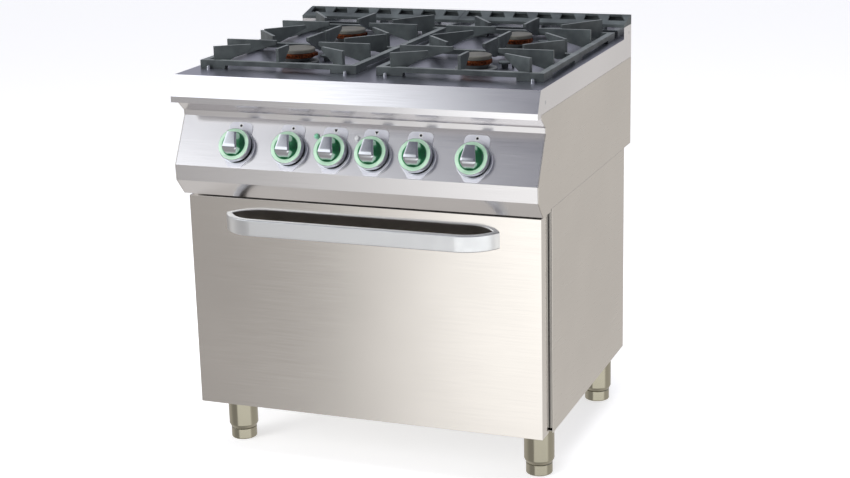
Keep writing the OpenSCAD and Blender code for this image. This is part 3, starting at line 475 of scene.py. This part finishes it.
def grip_section(t):
    """Half widths and heights of the wedge at t, 0 at the pointing end and 1 at the nose."""
    y = GRIP_TIP + (GRIP_NOSE - GRIP_TIP) * t
    half = GRIP_HALF_TIP + GRIP_WIDENS * min(1.0, t / WIDEST)
    if t > WIDEST:
        half -= GRIP_NARROWS * ((t - WIDEST) / (1 - WIDEST)) ** 2
    past = max(0.0, GRIP_NOSE + GRIP_ROUND - y)
    top = GRIP - GRIP_ROUND * (1 - math.sqrt(max(0.0, 1 - (past / GRIP_ROUND) ** 2)))
    scoop = 2.4 * math.sin(math.pi * min(1.0, t / 0.9))
    middle = (DISH + top) / 2
    foot = min(half + 7.5, math.sqrt(25.0 ** 2 - y ** 2)) - half
    side = [(half + foot, DISH - 1), (half + 0.8 * foot, DISH + 1.5), (half + 0.38 * foot, DISH + 6)]
    side += [(half + 0.1 * foot, middle + 2), (half - 0.1 * scoop, (middle + top) / 2 + 2)]
    side += [(half, top - 1.6), (half - 0.4, top - 0.6)]
    return y, [*side, (half - 1.5, top - 0.25), (half - 5, top)]


def grip(bm, place):
    """Sections from the pointing end to the nose, bridged into one wedge."""
    loops = []
    for k in range(SECTIONS + 1):
        y, side = grip_section(k / SECTIONS)
        ring = side + [(-x, z) for x, z in reversed(side)]
        verts = [bm.verts.new(place @ Vector((x * MM, y * MM, z * MM))) for x, z in ring]
        loops.append([bm.edges.new((a, b)) for a, b in zip(verts, verts[1:] + verts[:1])])
    bmesh.ops.bridge_loops(bm, edges=[e for loop in loops for e in loop])
    for loop in (loops[0], loops[-1]):
        bmesh.ops.contextual_create(bm, geom=loop)


# %% Knob bodies, face rings and dishes
for k, joint in enumerate(KNOBS, 1):
    place = panel_frame(joint)
    body = bmesh.new()
    rim = arc(SKIRT_R - 1.6, FACE - 1.6, 1.6, 0, 90, 4)
    bowl = [(RING_R, FACE), (RING_R - 0.8, FACE - 0.6), (RING_R - 2.2, DISH + 0.4), (RING_R - 4.2, DISH - 0.6)]
    skirt = [(SKIRT_R - 4, SKIRT_LOW + 3), (SKIRT_R - 3.4, SKIRT_LOW), (SKIRT_R - 0.6, SKIRT_LOW)]
    skirt += [(SKIRT_R, SKIRT_LOW + 0.8), *rim, *bowl, (0, DISH - 0.6)]
    spun(body, skirt, 72, False, place)
    spindle = [(0, SPINDLE_END), (SPINDLE_R, SPINDLE_END)]
    spindle += [(SPINDLE_R, SKIRT_LOW + 3), (SKIRT_R - 4, SKIRT_LOW + 3)]
    spun(body, spindle, 32, False, place)
    grip(body, place)
    finish_piece(f"knob_{k}_casting", body, f"knob_{k}", CHROME, (f"knob_{k}",), 40)
    ring = bmesh.new()
    outline = [(RING_R + 0.5, FACE - 0.2), (SKIRT_R - 1.2, FACE - 0.2), (SKIRT_R - 1.3, FACE + 0.2)]
    outline += [(SKIRT_R - 1.8, FACE + 0.4), (RING_R + 0.9, FACE + 0.4), (RING_R + 0.5, FACE + 0.2)]
    spun(ring, outline, 72, True, place)
    finish_piece(f"knob_{k}_face_ring", ring, f"knob_{k}", FACE_LACQUER, (), 40)
    dish = bmesh.new()
    lining = [(RING_R + 0.5, FACE + 0.2), (RING_R - 1, FACE - 0.4), (RING_R - 2.4, DISH + 1.4)]
    lining += [(RING_R - 3.2, DISH + 0.5), (RING_R - 2.6, DISH - 0.1), (RING_R, FACE - 0.2)]
    spun(dish, lining, 72, True, place)
    finish_piece(f"knob_{k}_dish", dish, f"knob_{k}", PAINTED_SHADE_DISH_LACQUER, (), 40)

# %% [markdown]
# ## Bezels
# Behind each knob sits a pressed plate with a round-cornered tab above and a small tongue below, and a
# turned collar with two grooves. A white window in the tab holds the mark that the knob's pointer is set to.

# %% Bezel plates and collars
COLLAR_R, COLLAR_HOLE_R, PLATE, COLLAR = 38, 7, 1.5, 5
plate_line = [(27, 27.9), *arc(16, 43, 11, 0, 78, 6), (0, 54.5), *arc(-16, 43, 11, 102, 180, 6), (-27, 27.9)]
plate_line += [*arc(0, 0, COLLAR_R + 0.8, 136, 228, 20), (-15, -43), (-13, -44), (13, -44), (15, -43)]
plate_line += arc(0, 0, COLLAR_R + 0.8, 312, 404, 20)
collar_line = [(COLLAR_HOLE_R, PLATE - 0.5), (COLLAR_R - 0.3, PLATE - 0.5), (COLLAR_R, PLATE + 0.3)]
collar_line += [(COLLAR_R, 2.5), (COLLAR_R - 1.3, 2.7), (COLLAR_R - 1.3, 3.3), (COLLAR_R - 0.2, 3.5)]
collar_line += [(COLLAR_R - 0.5, 4.6)]
collar_line += [(COLLAR_R - 1.2, COLLAR), (COLLAR_HOLE_R, COLLAR)]
bezels = bmesh.new()
collars = bmesh.new()
windows = bmesh.new()
marks = bmesh.new()
for k, joint in enumerate(KNOBS, 1):
    place = panel_frame(joint)
    slab(bezels, plate_line, 0.05, PLATE, place, 0.5)
    spun(collars, collar_line, 72, True, place)
    slab(windows, [(-4.2, 41.5), (4.2, 41.5), (4.2, 51), (-4.2, 51)], PLATE - 0.1, PLATE + 0.12, place)
    mark = [(-3.9, 49.8), (0, 43.1), (3.9, 49.8)] if k in (3, 4) else arc(0, 46.4, 2.7, 0, 345, 23)
    slab(marks, mark, PLATE + 0.1, PLATE + 0.22, place)
finish_piece("knob_bezel_plates", bezels, "range_body", BEZEL_PLATE, ("knob_bezels",), 30)
finish_piece("knob_collars", collars, "range_body", COLLAR_CHROME, (), 30)
finish_piece("bezel_windows", windows, "range_body", WINDOW_WHITE)
finish_piece("bezel_marks", marks, "range_body", MARK_INK)

# %% [markdown]
# ## Door handle
# The handle is a bent bar of rectangular section with softened edges. Its section is drawn once, turned
# through a quarter circle, pushed straight across the door and turned back. Each bend is wider than the
# handle stands out, so what would reach into the door is cut off flush. The inside is rougher, and its dark grey
# is painted shade.

# %% Door handle
low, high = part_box("door_handle")
HANDLE_T, HANDLE_BEND = 14, 85
reach_out = (high.y - low.y) / MM
height = (high.z - low.z) / MM
edge = 2.6
sweep = math.acos((HANDLE_BEND - reach_out) / HANDLE_BEND)
straight = high.x - HANDLE_BEND * math.sin(sweep) * MM
centre_y = low.y + HANDLE_BEND * MM
section = arc(edge, edge, edge, 180, 270, 5) + arc(HANDLE_T - edge, edge, edge, 270, 360, 5)
section += arc(HANDLE_T - edge, height - edge, edge, 0, 90, 5) + arc(edge, height - edge, edge, 90, 180, 5)
bar = bmesh.new()
start_x = straight + HANDLE_BEND * MM
face = bar.faces.new([bar.verts.new((start_x - u * MM, centre_y, low.z + v * MM)) for u, v in section])
quarter = {"axis": (0, 0, 1), "angle": -math.pi / 2, "steps": 28, "use_merge": False}
last = bmesh.ops.spin(bar, geom=[face], cent=(straight, centre_y, 0), **quarter)["geom_last"]
run = bmesh.ops.extrude_face_region(bar, geom=[f for f in last if isinstance(f, bmesh.types.BMFace)])["geom"]
moved = [v for v in run if isinstance(v, bmesh.types.BMVert)]
bmesh.ops.translate(bar, verts=moved, vec=(-2 * straight, 0, 0))
end = [f for f in run if isinstance(f, bmesh.types.BMFace)]
bmesh.ops.spin(bar, geom=end, cent=(-straight, centre_y, 0), **quarter)
bmesh.ops.remove_doubles(bar, verts=bar.verts, dist=1e-6)
whole = list(bar.verts) + list(bar.edges) + list(bar.faces)
bmesh.ops.bisect_plane(bar, geom=whole, plane_co=(0, high.y, 0), plane_no=(0, 1, 0), clear_outer=True)
bmesh.ops.holes_fill(bar, edges=[e for e in bar.edges if e.is_boundary], sides=0)
bmesh.ops.recalc_face_normals(bar, faces=bar.faces)
# Faces on the inside of the bends take the dark grey of painted shade.
for f in bar.faces:
    c = f.calc_center_median()
    past = max(0.0, abs(c.x) - straight)
    inside = math.hypot(past, centre_y - c.y) < (HANDLE_BEND - HANDLE_T + 0.4) * MM
    f.material_index = int(centre_y - c.y > 0 and inside)
handle = finish_piece("door_handle_bar", bar, "oven_door", HANDLE_STEEL, ("door_handle",), 30)
handle.data.materials.append(PAINTED_SHADE_HANDLE_BACK)

# %% [markdown]
# ## Legs and feet
# A leg is a polished tube whose lower edge is turned to a cone, over a foot that screws in and out of it.

# %% Legs and feet
FEET = ["front_left", "front_right", "rear_left", "rear_right"]
leg_low, leg_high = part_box("legs")
LEG_R, LEG_TOP, FOOT_R, STEM_R = 32.7, 117.2, 28.7, 14
tubes = bmesh.new()
for name in FEET:
    low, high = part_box("foot_" + name)
    middle = (low + high) / 2
    z0 = leg_low.z / MM
    spot = Matrix.Translation((middle.x, middle.y, 0))
    tube = [(STEM_R + 0.1, z0), (FOOT_R - 0.6, z0), (FOOT_R + 0.2, z0 + 0.8), (LEG_R - 0.6, z0 + 7.5)]
    tube += [(LEG_R, z0 + 9), (LEG_R, LEG_TOP - 0.6), (LEG_R - 0.6, LEG_TOP), (STEM_R + 0.1, LEG_TOP)]
    spun(tubes, tube, 72, True, spot)
    foot = bmesh.new()
    line = [(0, 0), (FOOT_R - 2.4, 0), *arc(FOOT_R - 2.6, 2.6, 2.6, -80, 0, 5), (FOOT_R, 23.6)]
    line += [(FOOT_R - 0.7, 24.3), (FOOT_R - 1.4, 24.9), (STEM_R, 25), (STEM_R, 80), (0, 80)]
    spun(foot, line, 72, False, spot)
    finish_piece(f"foot_{name}_turned", foot, "foot_" + name, LEG_STEEL, ("foot_" + name,), 40)
finish_piece("leg_tubes", tubes, "range_body", LEG_STEEL, ("legs",), 30)

# %% [markdown]
# ## Lamps
# Each pilot lamp is a domed lens on a thin flange, with its body behind the panel.

# %% Lamps
LAMP_LEFT, LAMP_UP = 41, 33
for node, glass, slot in (("lamp_green", GREEN_LENS, "lens_green"), ("lamp_clear", CLEAR_LENS, "lens_clear")):
    knob = KNOBS[2] if node == "lamp_green" else KNOBS[3]
    place = panel_frame(knob) @ Matrix.Translation((-LAMP_LEFT * MM, LAMP_UP * MM, 0))
    lens = bmesh.new()
    dome = [(0, -16), (4.8, -16), (4.8, 0.4), (6, 0.4), (6, 1.6), *arc(0, 0.4, 6, 22, 90, 7)]
    spun(lens, [(r, min(h, 5.2)) for r, h in dome], 40, False, place)
    finish_piece(node + "_lens", lens, "range_body", glass, (node,), 50)

# %% [markdown]
# ## Finishes of the pieces that keep their shape
# The pieces inside, and small ones whose shape is already right, only need their material.

# %% Finish the rest
PLAIN = {
    STEEL_INNER: ["hob_tray", "flue_duct", "cabinet_base", "oven_front_frame", "oven_liner", "door_liner"],
    WOOL: ["oven_insulation", "door_insulation"],
    CHROME: ["rack_guides", "oven_shelf", "locating_pegs", "sheet_screws"],
    SHEATH: ["heating_elements"],
    SILICONE: ["door_seal"],
    ZINC: ["hinge_brackets", "gas_rail", "door_hinges"],
    BRASS: ["gas_taps", "tap_plug_1", "tap_plug_2", "tap_plug_5", "tap_plug_6"],
    COPPER: ["gas_feed_tubes"],
    PHENOLIC: ["oven_controls"],
    NYLON: ["cable_gland"],
}
for material, names in PLAIN.items():
    for name in names:
        nodes[name].data.materials.clear()
        nodes[name].data.materials.append(material)

# %% [markdown]
# ## Floor and light
# A large pale floor gives the range something to stand on. It glows a little and stays out of reflections, so
# its shadow is faint and the steel mirrors only the sky.

# %% Floor
FLOOR_HALF_M = 30
floor_bm = bmesh.new()
bmesh.ops.create_grid(floor_bm, x_segments=1, y_segments=1, size=FLOOR_HALF_M)
floor_mesh = bpy.data.meshes.new("floor")
floor_bm.to_mesh(floor_mesh)
floor_bm.free()
floor = bpy.data.objects.new("floor", floor_mesh)
bpy.context.scene.collection.objects.link(floor)
floor_paint, floor_tree, floor_shader, floor_place = start("pale studio floor", Roughness=0.9)
floor_shader.inputs["Base Color"].default_value = rgb("#f6f6f6")
floor_shader.inputs["Emission Color"].default_value = (1, 1, 1, 1)
floor_shader.inputs["Emission Strength"].default_value = 0.6
floor.visible_glossy = False
floor_mesh.materials.append(floor_paint)

# %% [markdown]
# ## Sky
# Polished sheet shows little of its own colour: its gradients are what it mirrors. The sky's brightness is
# therefore set by direction. It has a grey room, a bright window high in front on the left and a bright
# screen low in front, from the middle to the right. The camera itself sees white behind the range.

# %% Sky
def eased(tree, value, low, high):
    """0 where value is at low, 1 where it is at high, with soft ends."""
    settings = {"interpolation_type": "SMOOTHSTEP"}
    inputs = {"Value": value, "From Min": low, "From Max": high}
    node = add(tree, "ShaderNodeMapRange", settings, inputs)
    return node.outputs["Result"]


def times(tree, *values):
    product = values[0]
    for value in values[1:]:
        product = add(tree, "ShaderNodeMath", {"operation": "MULTIPLY"}, {0: product, 1: value}).outputs[0]
    return product


def mixed(tree, factor, low, high):
    node = add(tree, "ShaderNodeMix", {"data_type": "RGBA"}, {"Factor": factor, 6: low, 7: high})
    return node.outputs[2]


LOW_FRONT, LOW_BACK = (0.4, 0.385, 0.375, 1), (0.62, 0.595, 0.57, 1)
HIGH_FRONT, HIGH_BACK = (0.2, 0.2, 0.23, 1), (0.33, 0.335, 0.39, 1)
WINDOW_LIGHT, SCREEN_LIGHT = (1.45, 1.47, 1.5, 1), (1.36, 1.35, 1.33, 1)
world = bpy.data.worlds.new("pale studio")
world.use_nodes = True
bpy.context.scene.world = world
sky = world.node_tree
way = add(sky, "ShaderNodeSeparateXYZ", inputs={0: add(sky, "ShaderNodeTexCoord").outputs["Generated"]})
x, y, z = way.outputs
front = eased(sky, y, 0.1, -0.2)
below = mixed(sky, eased(sky, y, -0.5, 0.1), LOW_FRONT, LOW_BACK)
upper = mixed(sky, front, HIGH_BACK, HIGH_FRONT)
room = mixed(sky, eased(sky, z, -0.15, 0.3), below, upper)
window = times(sky, front, eased(sky, x, -0.29, -0.4), eased(sky, z, 0.66, 0.6), eased(sky, z, 0.1, 0.25))
screen = times(sky, front, eased(sky, x, -0.43, -0.28), eased(sky, z, -0.62, -0.25), eased(sky, z, 0.02, -0.12))
bright = mixed(sky, window, room, WINDOW_LIGHT)
bright = mixed(sky, screen, bright, SCREEN_LIGHT)
seen = add(sky, "ShaderNodeLightPath").outputs["Is Camera Ray"]
ground = sky.nodes["Background"]
sky.links.new(mixed(sky, seen, bright, (1, 1, 1, 1)), ground.inputs["Color"])
ground.inputs["Strength"].default_value = 1.0


# %% [markdown]
# ## Soft lamps
# Two wide lamps shape what isn't metal, such as the iron and the knobs' lacquer. They are hidden from
# reflections, where they would show as hard rectangles.

# %% Soft lamps
def softbox(name, at, aim, width, height, power, code="#ffffff"):
    lamp = bpy.data.lights.new(name, "AREA")
    lamp.shape = "RECTANGLE"
    lamp.size, lamp.size_y, lamp.energy = width, height, power
    lamp.color = rgb(code)[:3]
    box = bpy.data.objects.new(name, lamp)
    bpy.context.scene.collection.objects.link(box)
    box.location = at
    box.rotation_euler = (Vector(aim) - Vector(at)).to_track_quat("-Z", "Y").to_euler()
    box.visible_glossy = False
    return box


softbox("front_left", (-2.6, -3.2, 1.6), (0, 0, 0.6), 1.6, 2.2, 60)
softbox("above", (0.2, -0.4, 3.2), (0, 0.1, 0.8), 2.4, 1.6, 60)
bpy.context.scene.view_settings.view_transform = "Standard"
